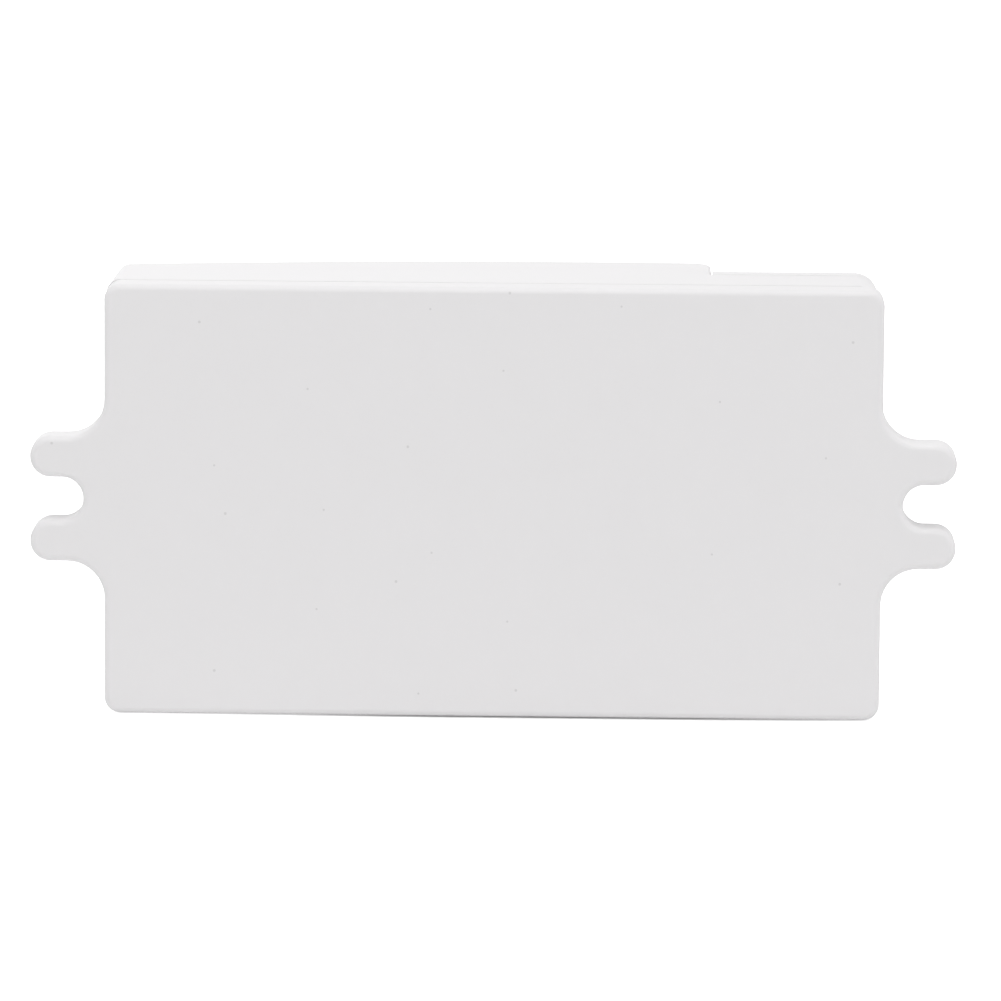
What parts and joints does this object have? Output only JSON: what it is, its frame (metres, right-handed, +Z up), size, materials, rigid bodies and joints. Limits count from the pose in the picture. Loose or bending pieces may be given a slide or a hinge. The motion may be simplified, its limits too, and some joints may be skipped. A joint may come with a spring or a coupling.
{
  "type": "microwave motion sensor",
  "caption": "Flat white plastic microwave motion sensor with an arched front, a stepped terminal end, U-slotted mounting ears, adjusters and its circuit boards inside.",
  "frame": {"origin": "middle of the flat mounting face", "axes": "+X along the case towards the terminal end, +Y from the mounting face to the front, +Z up across the case"},
  "size_m": [0.094, 0.027, 0.044],
  "materials": {
    "case_white": "fine matte moulded grain",
    "cover_white": "fine matte moulded grain",
    "board_green": "satin solder mask",
    "module_green": "satin solder mask",
    "block_green": "matte moulded",
    "brass_clamp": "pressed and plated",
    "steel_screw": "zinc plated",
    "tinned": "tinned",
    "solder": "soft bright solder",
    "knob_grey": "matte moulded",
    "rotor_white": "matte moulded",
    "pot_blue": "satin moulded",
    "relay_blue": "gloss moulded",
    "relay_black": "matte moulded",
    "winding": "enamelled copper wire",
    "iron": "plated iron",
    "film_yellow": "gloss resin",
    "sleeve_black": "gloss sleeve",
    "varistor_blue": "gloss resin coat",
    "fuse_green": "matte cement coat",
    "component_black": "matte moulded",
    "capacitor_tan": "satin ceramic",
    "gold": "gold flash",
    "clear": "clear moulded",
    "lens_dark": "tinted clear",
    "lamp_red": "tinted clear"
  },
  "bodies": {
    "case": {"amplifier_chip": "component_black", "antenna_traces": "gold", "back_cover": "case_white", "board_screws": "steel_screw", "chip_capacitors": "capacitor_tan", "chip_resistors": "component_black", "component_leads": "tinned", "controller_chip": "component_black", "controller_legs": "tinned", "diode_tabs": "tinned", "driver_transistor": "component_black", "film_capacitor": "film_yellow", "front_housing": "case_white", "fuse_resistor": "fuse_green", "header_pins": "gold", "header_spacers": "component_black", "indicator_led": "lamp_red", "light_guide": "clear", "light_sensor": "lens_dark", "main_board": "board_green", "microwave_board": "module_green", "oscillator_transistor": "component_black", "potentiometer_bodies": "pot_blue", "rectifier_diodes": "component_black", "relay_base": "relay_black", "relay_bobbin": "rotor_white", "relay_case": "relay_blue", "relay_coil": "winding", "relay_contacts": "brass_clamp", "relay_core": "iron", "relay_yoke": "iron", "smoothing_capacitor": "sleeve_black", "solder_joints": "solder", "supply_capacitor": "sleeve_black", "terminal_block_body": "block_green", "terminal_contacts": "tinned", "varistor": "varistor_blue", "voltage_regulator": "component_black"},
    "cover": {"terminal_cover": "cover_white"},
    "armature": {"relay_armature": "iron"},
    "clamp_screw_1": {"terminal_screw_1": "steel_screw"},
    "clamp_cage_1": {"terminal_cage_1": "brass_clamp"},
    "clamp_screw_2": {"terminal_screw_2": "steel_screw"},
    "clamp_cage_2": {"terminal_cage_2": "brass_clamp"},
    "clamp_screw_3": {"terminal_screw_3": "steel_screw"},
    "clamp_cage_3": {"terminal_cage_3": "brass_clamp"},
    "sensitivity_adjuster": {"sensitivity_knob": "knob_grey", "sensitivity_rotor": "rotor_white"},
    "time_adjuster": {"time_knob": "knob_grey", "time_rotor": "rotor_white"},
    "daylight_adjuster": {"daylight_knob": "knob_grey", "daylight_rotor": "rotor_white"}
  },
  "joints": [
    {"name": "cover_lift", "type": "slide", "parent": "case", "child": "cover", "axis": [0, 1, 0], "range_m": [0, 0.012]},
    {"name": "screw_turn_1", "type": "hinge", "parent": "case", "child": "clamp_screw_1", "pos_m": [0.03038, 0.013, -0.0075], "axis": [0, -1, 0], "range_deg": [0, 1440]},
    {"name": "cage_rise_1", "type": "slide", "parent": "case", "child": "clamp_cage_1", "axis": [0, 1, 0], "range_m": [0, 0.002]},
    {"name": "screw_turn_2", "type": "hinge", "parent": "case", "child": "clamp_screw_2", "pos_m": [0.03038, 0.013, 0], "axis": [0, -1, 0], "range_deg": [0, 1440]},
    {"name": "cage_rise_2", "type": "slide", "parent": "case", "child": "clamp_cage_2", "axis": [0, 1, 0], "range_m": [0, 0.002]},
    {"name": "screw_turn_3", "type": "hinge", "parent": "case", "child": "clamp_screw_3", "pos_m": [0.03038, 0.013, 0.0075], "axis": [0, -1, 0], "range_deg": [0, 1440]},
    {"name": "cage_rise_3", "type": "slide", "parent": "case", "child": "clamp_cage_3", "axis": [0, 1, 0], "range_m": [0, 0.002]},
    {"name": "sensitivity_turn", "type": "hinge", "parent": "case", "child": "sensitivity_adjuster", "pos_m": [0.01328, 0.025, 0.0126], "axis": [0, -1, 0], "range_deg": [-135, 135]},
    {"name": "time_turn", "type": "hinge", "parent": "case", "child": "time_adjuster", "pos_m": [0.01328, 0.025, 0], "axis": [0, -1, 0], "range_deg": [-135, 135]},
    {"name": "daylight_turn", "type": "hinge", "parent": "case", "child": "daylight_adjuster", "pos_m": [0.01328, 0.025, -0.0126], "axis": [0, -1, 0], "range_deg": [-135, 135]},
    {"name": "armature_pull", "type": "hinge", "parent": "case", "child": "armature", "pos_m": [-0.00119, 0.01665, -0.01272], "axis": [0, 0, -1], "range_deg": [0, 4], "stiffness_Nm_per_rad": 0.005}
  ],
  "couplings": [
    {"joint": "screw_turn_1", "follows": "cage_rise_1", "rad_per_m": 12566},
    {"joint": "screw_turn_2", "follows": "cage_rise_2", "rad_per_m": 12566},
    {"joint": "screw_turn_3", "follows": "cage_rise_3", "rad_per_m": 12566}
  ]
}
